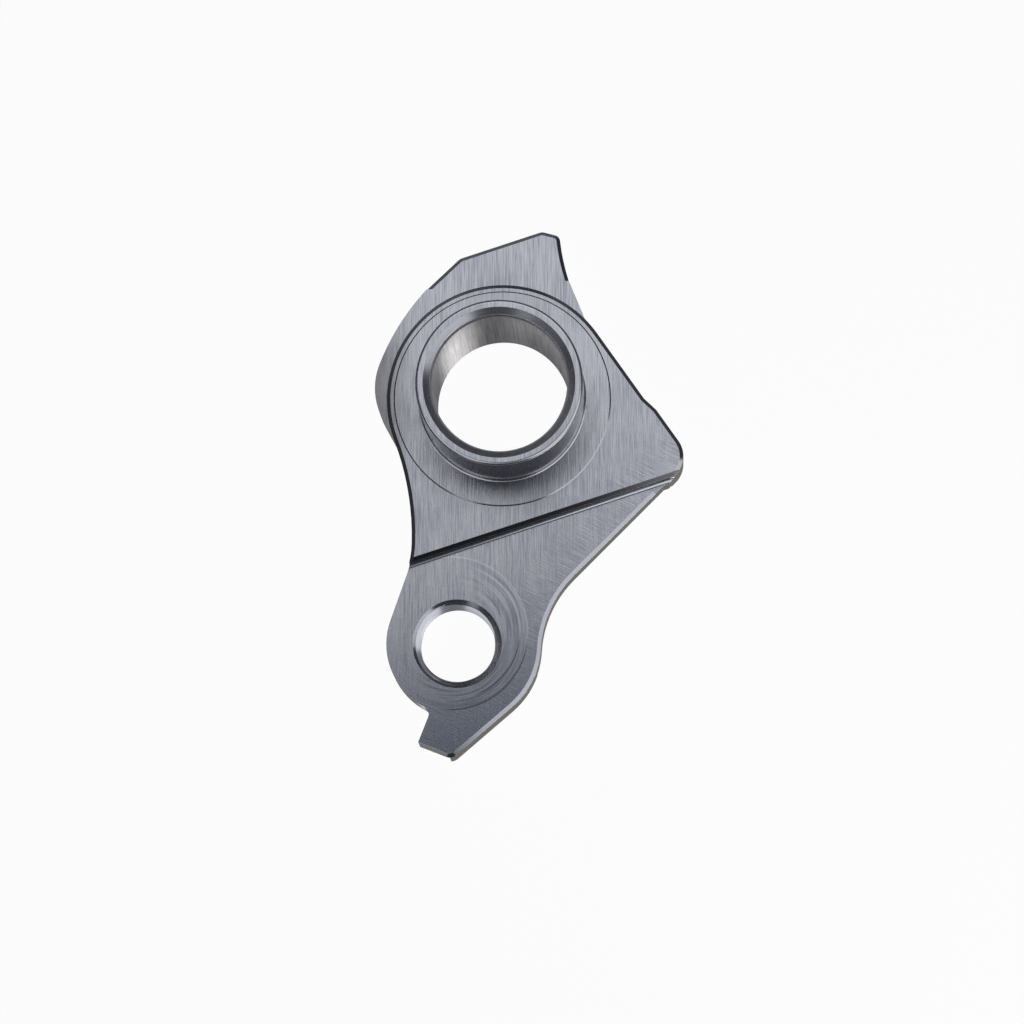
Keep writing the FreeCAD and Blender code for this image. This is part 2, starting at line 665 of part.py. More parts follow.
def bore_profile(body):
    """Half section of the axle bore with its seat and edge breaks; X is the radius, Y is up."""
    d = DIMENSIONS
    top = d["plate_thickness"] + d["boss_height"]
    bore_r = d["bore_diameter"] / 2
    seat_r = d["seat_diameter"] / 2
    mouth = d["boss_mouth_chamfer"]
    back = d["bore_back_chamfer"]
    seat_z = top - d["seat_depth"]
    points = [V(0, 0, 0), V(bore_r + back, 0, 0), V(bore_r, back, 0), V(bore_r, seat_z, 0),
              V(seat_r, seat_z, 0), V(seat_r, top - mouth, 0), V(seat_r + mouth, top, 0),
              V(0, top, 0), V(0, 0, 0)]

    o = Outline(body, "BoreProfile", plane="XZ_Plane")
    names = ("back", "back_edge", "bore", "seat_floor", "seat", "mouth", "top", "axis")
    for name, start, end in zip(names, points, points[1:]):
        o.line(name, start, end)
    o.close(*names)
    for name in ("back", "seat_floor", "top"):
        o.relate("Horizontal", o.index[name])
    for name in ("bore", "seat", "axis"):
        o.relate("Vertical", o.index[name])
    o.relate("Coincident", o.index["back"], 1, -1, 1)
    o.across("back", 2, "Dims.bore_diameter / 2 + Dims.bore_back_chamfer")
    o.across("bore", 1, "Dims.bore_diameter / 2")
    o.up("bore", 1, "Dims.bore_back_chamfer")
    o.up("seat_floor", 2, "Dims.plate_thickness + Dims.boss_height - Dims.seat_depth")
    o.across("seat", 1, "Dims.seat_diameter / 2")
    o.up("seat", 2, "Dims.plate_thickness + Dims.boss_height - Dims.boss_mouth_chamfer")
    o.across("mouth", 2, "Dims.seat_diameter / 2 + Dims.boss_mouth_chamfer")
    o.up("top", 2, "Dims.plate_thickness + Dims.boss_height")
    return o


def eye_circle(body):
    """Derailleur hole at the root of its thread, drawn on the front face."""
    d = DIMENSIONS
    o = Outline(body, "EyeCircle", level="Dims.plate_thickness")
    centre = V(-d["eye_offset"], -d["eye_drop"], 0)
    o.circle("eye", centre, d["thread_diameter"] / 2)
    o.radius("eye", "Dims.thread_diameter / 2")
    o.across("eye", 3, "-Dims.eye_offset")
    o.up("eye", 3, "-Dims.eye_drop")
    return o


def add(body, kind, name, outline, **sizes):
    """Adds a feature on an outline, with its sizes tied to the sheet."""
    feature = body.newObject("PartDesign::" + kind, name)
    feature.Profile = outline.sketch
    for size, expression in sizes.items():
        feature.setExpression(size, expression)
    return feature


def turn(body, kind, name, outline):
    """Adds a full turn of a half section about the bore axis."""
    feature = add(body, kind, name, outline)
    feature.ReferenceAxis = (outline.sketch, ["V_Axis"])
    feature.Angle = FULL_TURN
    return feature


def edges_at(body, level, points=None):
    """Names of the edges at one level, all of them or those that pass through some points."""
    names = []
    for number, edge in enumerate(body.Shape.Edges, start=1):
        box = edge.BoundBox
        if abs(box.ZMin - level) > TOLERANCE or abs(box.ZMax - level) > TOLERANCE:
            continue
        near = points is None or any(
            edge.distToShape(Part.Vertex(V(p.x, p.y, level)))[0] < TOLERANCE for p in points)
        if near:
            names.append(f"Edge{number}")
    return names


def dress(body, kind, name, edges, **sizes):
    """Adds a chamfer or a fillet on named edges, with its size tied to the sheet."""
    base = body.Tip
    feature = body.newObject("PartDesign::" + kind, name)
    feature.Base = (base, edges)
    for size, expression in sizes.items():
        feature.setExpression(size, expression)
    return feature


def settle(doc, body, grows):
    """Recomputes and checks that the last feature added or removed material as it should."""
    doc.recompute()
    feature = body.Tip
    before = feature.BaseFeature.Shape.Volume if feature.BaseFeature else 0
    after = feature.Shape.Volume
    if (after > before) != grows or abs(after - before) < TOLERANCE:
        raise RuntimeError(f"{feature.Name}: volume {before:.2f} -> {after:.2f}")
    if not feature.Shape.isValid() or len(feature.Shape.Solids) != 1:
        raise RuntimeError(feature.Name + ": the solid is broken")


def middles(outline, *names):
    """Middle points of some stretches of an outline."""
    return [outline.middle[name] for name in names]


def build(doc):
    """Models the hanger."""
    d = DIMENSIONS
    body = doc.addObject("PartDesign::Body", "Hanger")
    body.Label = "hanger"
    body.Placement = FreeCAD.Placement()
    main = d["plate_thickness"]
    low = main - d["step_height"]
    eye = V(-d["eye_offset"], -d["eye_drop"], 0)
    eye_rim = eye + V(d["thread_diameter"] / 2, 0, 0)

    arm = arm_outline(body)
    add(body, "Pad", "Arm", arm, Length="Dims.plate_thickness - Dims.step_height")
    settle(doc, body, True)

    arm_edges = middles(arm, "tail", "tip", "tail_side", "eye_right", "neck_hollow", "neck")
    dress(body, "Chamfer", "ArmEdges", edges_at(body, low, arm_edges), Size="Dims.edge_chamfer")
    settle(doc, body, False)

    add(body, "Pad", "Shoulder", shoulder_outline(body),
        Length="Dims.plate_thickness - Dims.step_height")
    settle(doc, body, True)

    add(body, "Pad", "Head", head_outline(body), Length="Dims.plate_thickness")
    settle(doc, body, True)

    dress(body, "Chamfer", "HeadEdges", edges_at(body, main), Size="Dims.edge_chamfer")
    settle(doc, body, False)

    add(body, "Pocket", "LowFace", step_outline(body), Length="Dims.step_height")
    settle(doc, body, False)

    step_middle = step_side().foot(V(0, 0, 0))
    dress(body, "Chamfer", "StepEdge", edges_at(body, main, [step_middle]),
          Size="Dims.edge_chamfer")
    settle(doc, body, False)

    dress(body, "Fillet", "StepFoot", edges_at(body, low, [step_middle]),
          Radius="Dims.step_foot_radius")
    settle(doc, body, True)

    tab = tab_outline(body)
    add(body, "Pad", "Tab", tab, Length="Dims.tab_thickness")
    settle(doc, body, True)

    tab_edges = middles(tab, "tab_side", "tab_tip", "peak_side", "peak", "top", "tab_corner",
                        "shoulder")
    dress(body, "Chamfer", "TabEdges", edges_at(body, d["tab_thickness"], tab_edges),
          Size="Dims.edge_chamfer")
    settle(doc, body, False)

    add(body, "Pad", "Crescent", crescent_outline(body), Length="Dims.tab_thickness")
    settle(doc, body, True)

    dress(body, "Chamfer", "BackEdges", edges_at(body, 0), Size="Dims.back_chamfer")
    settle(doc, body, False)

    relief = add(body, "Pocket", "BackRelief", relief_outline(body), Length="Dims.relief_depth")
    relief.Reversed = True
    settle(doc, body, False)

    turn(body, "Revolution", "Boss", boss_profile(body))
    settle(doc, body, True)

    turn(body, "Groove", "Bore", bore_profile(body))
    settle(doc, body, False)

    hole = add(body, "Pocket", "EyeHole", eye_circle(body))
    hole.Type = "ThroughAll"
    settle(doc, body, False)

    dress(body, "Chamfer", "EyeMouth", edges_at(body, low, [eye_rim]),
          Size="Dims.eye_mouth_chamfer")
    settle(doc, body, False)

    dress(body, "Chamfer", "EyeBack", edges_at(body, 0, [eye_rim]),
          Size="Dims.eye_back_chamfer")
    settle(doc, body, False)
    return body


def check(doc):
    """Stops on any object that didn't resolve, on a loose sketch and on a broken shape."""
    for item in doc.Objects:
        if "Invalid" in item.State or "Error" in item.State:
            raise RuntimeError(item.Name + ": " + ", ".join(item.State))
        if item.TypeId == "Sketcher::SketchObject" and not item.FullyConstrained:
            raise RuntimeError(item.Name + ": sketch isn't fully constrained")
        shape = getattr(item, "Shape", None)
        if shape is not None and (shape.isNull() or not shape.isValid()):
            raise RuntimeError(item.Name + ": broken shape")


def main():
    """Builds the hanger and writes its STEP file."""
    os.makedirs("parts", exist_ok=True)
    doc = FreeCAD.newDocument("derailleur_hanger")
    make_sheet(doc)
    body = build(doc)
    check(doc)
    body.Shape.exportStep(os.path.join("parts", body.Label + ".step"))
    box = body.Shape.BoundBox
    print(f"{body.Label}: {box.XLength:.2f} x {box.YLength:.2f} x {box.ZLength:.2f} mm, "
          f"volume {body.Shape.Volume:.0f} mm3")


main()
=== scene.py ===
"""Dresses the bicycle derailleur hanger: a milled aluminium body and the thread in its eye.

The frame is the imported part's own: metres, the bore axis on Z, the flat back on z = 0.
"""

import json
import logging
import math
from dataclasses import dataclass, field
from enum import Enum
from typing import Any, Union

import bmesh
import bpy
from mathutils import Matrix, Vector

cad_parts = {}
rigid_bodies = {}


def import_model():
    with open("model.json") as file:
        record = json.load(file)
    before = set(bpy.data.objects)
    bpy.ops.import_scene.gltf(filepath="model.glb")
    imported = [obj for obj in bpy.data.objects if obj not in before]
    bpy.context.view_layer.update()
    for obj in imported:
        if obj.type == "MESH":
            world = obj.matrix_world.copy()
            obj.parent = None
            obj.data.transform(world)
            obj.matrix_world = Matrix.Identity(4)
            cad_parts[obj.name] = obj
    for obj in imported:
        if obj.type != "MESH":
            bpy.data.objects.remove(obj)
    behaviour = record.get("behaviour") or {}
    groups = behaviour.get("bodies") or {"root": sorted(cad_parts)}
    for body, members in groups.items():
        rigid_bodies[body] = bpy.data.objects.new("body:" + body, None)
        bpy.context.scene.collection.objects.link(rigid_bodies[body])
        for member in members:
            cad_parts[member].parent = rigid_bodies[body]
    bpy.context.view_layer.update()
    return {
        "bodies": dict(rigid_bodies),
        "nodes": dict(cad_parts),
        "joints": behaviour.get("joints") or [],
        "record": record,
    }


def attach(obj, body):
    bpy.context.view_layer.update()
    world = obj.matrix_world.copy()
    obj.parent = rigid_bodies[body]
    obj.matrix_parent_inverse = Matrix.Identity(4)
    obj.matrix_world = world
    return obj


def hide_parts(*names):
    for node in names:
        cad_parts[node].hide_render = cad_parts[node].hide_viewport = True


LOG = logging.getLogger("derailleur_hanger")
MM = 0.001
PHOTO_PIXELS = 1024
SENSOR_MM = 36.0

Colour = tuple[float, float, float]


class Shape(Enum):
    """How a machining mark runs over the surface."""

    STRAIGHT = "straight"
    TURNED = "turned"


class Wire:
    """One shader socket with arithmetic, so that a formula reads as one."""

    def __init__(self, graph: "ShaderGraph", socket: bpy.types.NodeSocket) -> None:
        """Wraps an output socket of a graph."""
        self.graph = graph
        self.socket = socket

    def _math(self, operation: str, *values: Any) -> "Wire":
        """Adds one Math node.

        Args:
            operation: name of the Math node's operation.
            values: wires or numbers, in the node's own order.

        Returns:
            The result as a wire.
        """
        inputs = dict(enumerate(values))
        return self.graph.node("ShaderNodeMath", {"operation": operation}, inputs)["Value"]

    def __add__(self, other: "Scalar") -> "Wire":
        """Sum."""
        return self._math("ADD", self, other)

    __radd__ = __add__

    def __sub__(self, other: "Scalar") -> "Wire":
        """Difference."""
        return self._math("SUBTRACT", self, other)

    def __rsub__(self, other: float) -> "Wire":
        """Difference from a number."""
        return self._math("SUBTRACT", other, self)

    def __mul__(self, other: "Scalar") -> "Wire":
        """Product."""
        return self._math("MULTIPLY", self, other)

    __rmul__ = __mul__

    def __truediv__(self, other: "Scalar") -> "Wire":
        """Quotient."""
        return self._math("DIVIDE", self, other)

    def __pow__(self, other: "Scalar") -> "Wire":
        """Power."""
        return self._math("POWER", self, other)

    def sine(self) -> "Wire":
        """Sine of the value in radians."""
        return self._math("SINE", self)

    def size(self) -> "Wire":
        """Absolute value."""
        return self._math("ABSOLUTE", self)

    def smallest(self, other: "Scalar") -> "Wire":
        """The smaller of two values."""
        return self._math("MINIMUM", self, other)

    def zigzag(self, pitch: float) -> "Wire":
        """Triangle wave of unit height with a given pitch."""
        return self._math("PINGPONG", self, pitch / 2) * (2 / pitch)

    def bearing(self, across: "Wire") -> "Wire":
        """Angle in radians of a point, this wire being its height and the other its width."""
        return self._math("ARCTAN2", self, across)

    def ramp(self, low: float, high: float) -> "Wire":
        """Smooth step.

        Args:
            low: value at which the result leaves 0.
            high: value at which the result reaches 1.

        Returns:
            A wire from 0 to 1.
        """
        node = self.graph.node(
            "ShaderNodeMapRange", {"interpolation_type": "SMOOTHSTEP"},
            {"Value": self, "From Min": low, "From Max": high, "To Min": 0.0, "To Max": 1.0})
        return node["Result"]


Scalar = Union[Wire, float]


class ShaderGraph:
    """A material's node tree, filled through one method."""

    def __init__(self, material: bpy.types.Material) -> None:
        """Empties the material's tree and keeps it."""
        material.use_nodes = True
        self.tree = material.node_tree
        self.tree.nodes.clear()

    def node(self, kind: str, settings: dict[str, Any] | None = None,
             inputs: dict[Any, Any] | None = None) -> dict[str, Wire]:
        """Adds one node.

        Args:
            kind: the node's type name.
            settings: properties that are set first.
            inputs: socket values or wires, by name or number.

        Returns:
            The node's outputs as wires, by name.
        """
        made = self.tree.nodes.new(kind)
        for name, value in (settings or {}).items():
            setattr(made, name, value)
        for key, value in (inputs or {}).items():
            socket = made.inputs[key]
            if isinstance(value, Wire):
                self.tree.links.new(value.socket, socket)
            else:
                socket.default_value = value
        return {out.name: Wire(self, out) for out in made.outputs if out.enabled}

    def mix_colour(self, factor: Scalar, first: Any, second: Any) -> Wire:
        """Blends two colours.

        Args:
            factor: 0 gives the first, 1 the second.
            first: a colour with alpha, or a wire.
            second: a colour with alpha, or a wire.

        Returns:
            The blended colour.
        """
        made = self.tree.nodes.new("ShaderNodeMix")
        made.data_type = "RGBA"
        wanted = {"Factor": factor, "A": first, "B": second}
        for socket in made.inputs:
            if not socket.enabled or socket.name not in wanted:
                continue
            value = wanted[socket.name]
            if isinstance(value, Wire):
                self.tree.links.new(value.socket, socket)
            else:
                socket.default_value = value
        result = [out for out in made.outputs if out.enabled][0]
        return Wire(self, result)


@dataclass(frozen=True)
class ToolMark:
    """One set of machining lines: how they run, how fine and how deep they are."""

    shape: Shape
    pitch: float
    length: float
    depth: float
    turn: float = 0.0


@dataclass(frozen=True)
class CutterCircle:
    """One faint circle left by the cutter, drawn with painted highlight on one side of a bearing and painted
    shade on the other.
    """

    x: float
    y: float
    radius: float
    first: float
    last: float
    turn: float
    half_width: float = 0.15 * MM
    fade: float = 0.25


@dataclass(frozen=True)
class MilledAluminium:
    """Grey anodised aluminium with fine mill lines and turned rings round the eye."""

    face: Colour = (0.430, 0.443, 0.485)
    dark: Colour = (0.235, 0.250, 0.295)
    # Colour of the painted shade that darkens the faces towards the tail end.
    tail_shade: Colour = (0.150, 0.170, 0.225)
    wall: Colour = (0.360, 0.355, 0.360)
    # Colour of the painted shade on the left side, the bore's seat, the step and the cutter circles, and of the
    # walls' darker pass lines.
    shade: Colour = (0.100, 0.095, 0.100)
    bare: Colour = (0.640, 0.625, 0.615)
    # Colour of the painted highlight on the lit side of the cutter circles.
    painted_highlight: Colour = (0.600, 0.615, 0.660)
    roughness: float = 0.27
    roughness_swing: float = 0.16
    edge_roughness: float = 0.20
    mouth_roughness: float = 0.06
    wall_roughness: float = 0.10
    wall_pass: float = 0.25 * MM
    turned_roughness: float = 0.46
    turned_stretch: float = 0.95
    step_turn: float = math.radians(-71.7)
    eye_x: float = -5.4 * MM
    eye_y: float = -29.35 * MM
    eye_wall_reach: float = 5.6 * MM
    grain: ToolMark = ToolMark(Shape.STRAIGHT, 0.10 * MM, 4.0 * MM, 0.010 * MM)
    scratch: ToolMark = ToolMark(Shape.STRAIGHT, 0.24 * MM, 14.0 * MM, 0.010 * MM)
    cross: ToolMark = ToolMark(Shape.STRAIGHT, 0.10 * MM, 3.0 * MM, 0.010 * MM, 118.0)
    rings: ToolMark = ToolMark(Shape.TURNED, 0.30 * MM, 1.3, 0.020 * MM)
    circles: tuple[CutterCircle, ...] = (
        CutterCircle(-6.15 * MM, -28.07 * MM, 9.20 * MM, -1.75, 2.05, -0.15),
        CutterCircle(-5.93 * MM, -27.87 * MM, 8.05 * MM, -1.30, 1.35, -0.10),
    )
    bore_rings: ToolMark = ToolMark(Shape.TURNED, 0.12 * MM, 0.0, 0.050 * MM)
    wall_rings: ToolMark = ToolMark(Shape.TURNED, 0.12 * MM, 0.0, 0.001 * MM)

    def build(self, name: str) -> bpy.types.Material:
        """Makes the material.

        Args:
            name: name of the new material.

        Returns:
            The material.
        """
        material = bpy.data.materials.new(name)
        graph = ShaderGraph(material)
        place = graph.node("ShaderNodeTexCoord")["Object"]
        axes = graph.node("ShaderNodeSeparateXYZ", inputs={"Vector": place})
        x, y, z = axes["X"], axes["Y"], axes["Z"]
        across = x - self.eye_x
        up = y - self.eye_y
        eye_distance = (across * across + up * up) ** 0.5
        bore_distance = (x * x + y * y) ** 0.5
        neck_distance = x * 0.7096 - y * 0.7046
        near_neck = neck_distance.ramp(14.0 * MM, 19.5 * MM)
        near_waist = 1.0 - (x + 12.5 * MM + (y + 17.0 * MM).size() * 0.25).ramp(0.0, 3.0 * MM)
        swept = (near_neck + near_waist).smallest(1.0)
        first = self.circles[0]
        cut_x, cut_y = x - first.x, y - first.y
        cut_distance = (cut_x * cut_x + cut_y * cut_y) ** 0.5
        cut_bearing = cut_y.bearing(cut_x)
        sweep_side = (cut_bearing + 0.55).size()
        ringed = (1.0 - cut_distance.ramp(8.9 * MM, 9.4 * MM)) * (1.0 - sweep_side.ramp(0.7, 2.4))
        eye_side = cut_distance.ramp(5.6 * MM, 6.6 * MM)

        grain = self._streaks(graph, place, self.grain)
        scratch = self._streaks(graph, place, self.scratch)
        cross = self._streaks(graph, place, self.cross)
        polar = graph.node("ShaderNodeCombineXYZ", inputs={
            "X": cut_distance * (1.0 / self.rings.pitch), "Y": cut_bearing * self.rings.length,
            "Z": bore_distance * 20.0})["Vector"]
        rings = graph.node("ShaderNodeTexNoise", {"noise_dimensions": "3D"},
                           {"Vector": polar, "Scale": 1.0, "Detail": 3.0, "Roughness": 0.6})["Fac"]
        cloud = graph.node("ShaderNodeTexNoise", {"noise_dimensions": "3D"},
                           {"Vector": place, "Scale": 110.0, "Detail": 4.0, "Roughness": 0.6})["Fac"]

        normal = graph.node("ShaderNodeNewGeometry")["Normal"]
        facing = graph.node("ShaderNodeSeparateXYZ", inputs={"Vector": normal})["Z"].size()
        flat = facing.ramp(0.25, 0.75)
        level = facing.ramp(0.93, 0.99)
        lines = grain * (1.0 - swept * 0.75) + cross * (swept * 0.75)
        lines = lines * (1.0 - ringed * 0.8) + rings * (ringed * 0.8)
        marks = lines * self.grain.depth + scratch * self.scratch.depth
        turned = (1.0 - bore_distance.ramp(8.6 * MM, 8.8 * MM)) + (
            1.0 - eye_distance.ramp(self.eye_wall_reach, self.eye_wall_reach + 0.2 * MM))
        groove = turned * self.bore_rings.depth + (1.0 - turned) * self.wall_rings.depth
        height = marks * level + z.zigzag(self.wall_rings.pitch) * groove * (1.0 - flat)
        bump = graph.node("ShaderNodeBump", inputs={
            "Strength": 1.0, "Distance": 1.0, "Height": height})["Normal"]

        # Painted shade: the faces grow darker and bluer towards the tail end, where less light is reflected.
        tail_shade_mask = 1.0 - (y - x * 0.35).ramp(-43.0 * MM, -20.0 * MM)
        # Painted shade over the left side of the faces, round the crescent and the flange's left end.
        painted_left_shade = (1.0 - x.ramp(-15.5 * MM, -9.0 * MM)) * y.ramp(-10.0 * MM, -5.0 * MM) * (
            1.0 - y.ramp(4.0 * MM, 13.0 * MM))
        # Painted shade on the bore's narrow seat floor, which lies deep in the mouth.
        seat_shade = 1.0 - bore_distance.ramp(8.27 * MM, 8.30 * MM)
        # Real cutter lines, drawn as painted highlight on one side and painted shade on the other.
        circle_highlight_and_shade = self._circles(graph, x, y)
        strokes = (rings - 0.47) * ringed * eye_side * 3.2
        streaked = 0.25 + ((lines - 0.5) * 3.0 + (scratch - 0.5) * 0.8 + (cloud - 0.5) * 1.0 + strokes) * level
        face = graph.mix_colour(streaked, (*self.face, 1.0), (*self.dark, 1.0))
        face = graph.mix_colour(tail_shade_mask * level * 0.75, face, (*self.tail_shade, 1.0))
        # Painted shade: the left side and the bore's seat floor are mixed towards the shade colour.
        face = graph.mix_colour((painted_left_shade * 0.7 + seat_shade * 0.8) * level, face, (*self.shade, 1.0))
        # Painted highlight, then painted shade, along the cutter circles.
        face = graph.mix_colour(circle_highlight_and_shade["light"] * level * 0.50, face, (*self.painted_highlight, 1.0))
        face = graph.mix_colour(circle_highlight_and_shade["dark"] * level * 0.90, face, (*self.shade, 1.0))
        # Painted shade on the diagonal step's edge, which faces down, away from the lights.
        step_reach = x * math.cos(self.step_turn) + y * math.sin(self.step_turn)
        painted_step_shade = step_reach.ramp(14.75 * MM, 14.83 * MM) * (1.0 - step_reach.ramp(15.35 * MM, 15.45 * MM))
        face = graph.mix_colour(painted_step_shade * (1.0 - level) * 0.85, face, (*self.shade, 1.0))
        passes = graph.node("ShaderNodeTexNoise", {"noise_dimensions": "1D"}, {
            "W": z * (1.0 / self.wall_pass), "Scale": 1.0, "Detail": 3.0, "Roughness": 0.6})["Fac"]
        side = graph.mix_colour((passes - 0.5) * 1.6 + 0.1, (*self.wall, 1.0), (*self.shade, 1.0))
        tone = graph.mix_colour(1.0 - flat, face, side)
        rough = self.roughness + (lines - 0.5) * self.roughness_swing + (cloud - 0.5) * 0.10
        mouth = (1.0 - bore_distance.ramp(9.05 * MM, 9.15 * MM)) * self.mouth_roughness
        sloped = (mouth + self.edge_roughness) * flat + self.wall_roughness * (1.0 - flat)
        rough = rough * level + sloped * (1.0 - level)
        milled = graph.node("ShaderNodeBsdfPrincipled", inputs={
            "Base Color": tone, "Metallic": 1.0, "Roughness": rough, "Normal": bump})["BSDF"]
        sleeve = graph.node("ShaderNodeCombineXYZ", inputs={
            "X": y.bearing(x) * 34.0, "Y": z * 60.0})["Vector"]
        streaks = graph.node("ShaderNodeTexNoise", {"noise_dimensions": "3D"}, {
            "Vector": sleeve, "Scale": 1.0, "Detail": 4.0, "Roughness": 0.75})["Fac"]
        bare = graph.mix_colour((streaks - 0.5) * 2.6 + 0.35, (*self.bare, 1.0), (*self.dark, 1.0))
        lathed = graph.node("ShaderNodeBsdfPrincipled", inputs={
            "Base Color": bare, "Metallic": 1.0, "Roughness": self.turned_roughness,
            "Anisotropic": self.turned_stretch, "Anisotropic Rotation": 0.25})["BSDF"]
        surface = graph.node("ShaderNodeMixShader", inputs={
            0: (turned * (1.0 - flat)).smallest(1.0), 1: milled, 2: lathed})["Shader"]
        graph.node("ShaderNodeOutputMaterial", inputs={"Surface": surface})
        return material

    def _circles(self, graph: ShaderGraph, x: Wire, y: Wire) -> dict[str, Wire]:
        """Thin circles that the cutter left round the eye, drawn with painted highlight and painted shade.

        Args:
            graph: the tree to add to.
            x: position across.
            y: position up.

        Returns:
            The circles' painted highlight stretches and their painted shade stretches.
        """
        light: Scalar = 0.0
        dark: Scalar = 0.0
        for circle in self.circles:
            across, up = x - circle.x, y - circle.y
            away = ((across * across + up * up) ** 0.5 - circle.radius).size()
            bearing = up.bearing(across)
            line = (1.0 - away.ramp(0.02 * MM, circle.half_width)) * (
                bearing.ramp(circle.first, circle.first + circle.fade)) * (
                1.0 - bearing.ramp(circle.last - circle.fade, circle.last))
            upper = bearing.ramp(circle.turn - circle.fade, circle.turn + circle.fade)
            light = line * upper + light
            dark = line * (1.0 - upper) + dark
        return {"light": light, "dark": dark}

    @staticmethod
    def _streaks(graph: ShaderGraph, place: Wire, mark: ToolMark) -> Wire:
        """Fine straight lines along one direction.

        Args:
            graph: the tree to add to.
            place: Object coordinates.
            mark: the lines' pitch, length and direction.

        Returns:
            A wire round 0.5 that swings from line to line.
        """
        turned = graph.node("ShaderNodeMapping", {"vector_type": "TEXTURE"}, {
            "Vector": place, "Rotation": (0.0, 0.0, -math.radians(mark.turn)),
            "Scale": (mark.pitch, mark.length, mark.length)})["Vector"]
        return graph.node("ShaderNodeTexNoise", {"noise_dimensions": "3D"},
                          {"Vector": turned, "Scale": 1.0, "Detail": 2.0, "Roughness": 0.7})["Fac"]


@dataclass
class MilledBody:
    """The hanger milled from one block, with its sharp edges broken by a hair."""

    frame: dict[str, Any]
    node: str = "hanger"
    merge_distance: float = 0.0005 * MM
    flat_angle: float = math.radians(0.05)
    sharp_angle: float = math.radians(24.0)
    rim_floor: float = 20.4 * MM
    rim_reach: float = 9.5 * MM
    rim_round: float = 0.12 * MM
    rim_segments: int = 3
    edge_break: float = 0.025 * MM
    edge_segments: int = 2
    foot_low: float = 7.94 * MM
    foot_high: float = 8.26 * MM
    foot_inner: float = 9.85 * MM
    foot_outer: float = 10.25 * MM

    def _in_foot(self, edge: bmesh.types.BMEdge) -> bool:
        """Tells whether an edge lies in the small fillet at the boss's foot, which has no sharp edge."""
        return all(self.foot_low < vert.co.z < self.foot_high
                   and self.foot_inner < math.hypot(vert.co.x, vert.co.y) < self.foot_outer
                   for vert in edge.verts)

    def build(self, finish: bpy.types.Material) -> bpy.types.Object:
        """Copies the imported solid's surface, merges it and breaks its edges.

        Args:
            finish: the body's material.

        Returns:
            The dressed body.
        """
        source = self.frame["nodes"][self.node]
        work = bmesh.new()
        work.from_mesh(source.data)
        bmesh.ops.remove_doubles(work, verts=work.verts, dist=self.merge_distance)
        bmesh.ops.dissolve_limit(work, angle_limit=self.flat_angle, use_dissolve_boundaries=False,
                                 verts=work.verts, edges=work.edges)
        rim = [edge for edge in work.edges if all(
            vert.co.z > self.rim_floor and math.hypot(vert.co.x, vert.co.y) > self.rim_reach
            for vert in edge.verts) and abs(edge.verts[0].co.z - edge.verts[1].co.z) < self.merge_distance]
        bmesh.ops.bevel(work, geom=rim, offset=self.rim_round, offset_type="OFFSET",
                        segments=self.rim_segments, profile=0.5, affect="EDGES", material=-1)
        for face in work.faces:
            face.smooth = True
            face.material_index = 0
        broken = work.edges.layers.float.new("bevel_weight_edge")
        for edge in work.edges:
            edge.smooth = self._in_foot(edge) or (
                len(edge.link_faces) == 2 and edge.calc_face_angle(0.0) < self.sharp_angle)
            edge[broken] = 1.0 if not edge.smooth and edge.is_convex else 0.0
        mesh = bpy.data.meshes.new("milled_body")
        work.to_mesh(mesh)
        work.free()
        mesh.materials.clear()
        mesh.materials.append(finish)
        body = bpy.data.objects.new("milled_body", mesh)
        bpy.context.scene.collection.objects.link(body)
        bevel = body.modifiers.new("edge_break", "BEVEL")
        bevel.width = self.edge_break
        bevel.segments = self.edge_segments
        bevel.limit_method = "WEIGHT"
        bevel.harden_normals = True
        bevel.use_clamp_overlap = True
        even = body.modifiers.new("even_normals", "WEIGHTED_NORMAL")
        even.keep_sharp = True
        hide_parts(self.node)
        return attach(body, "root")


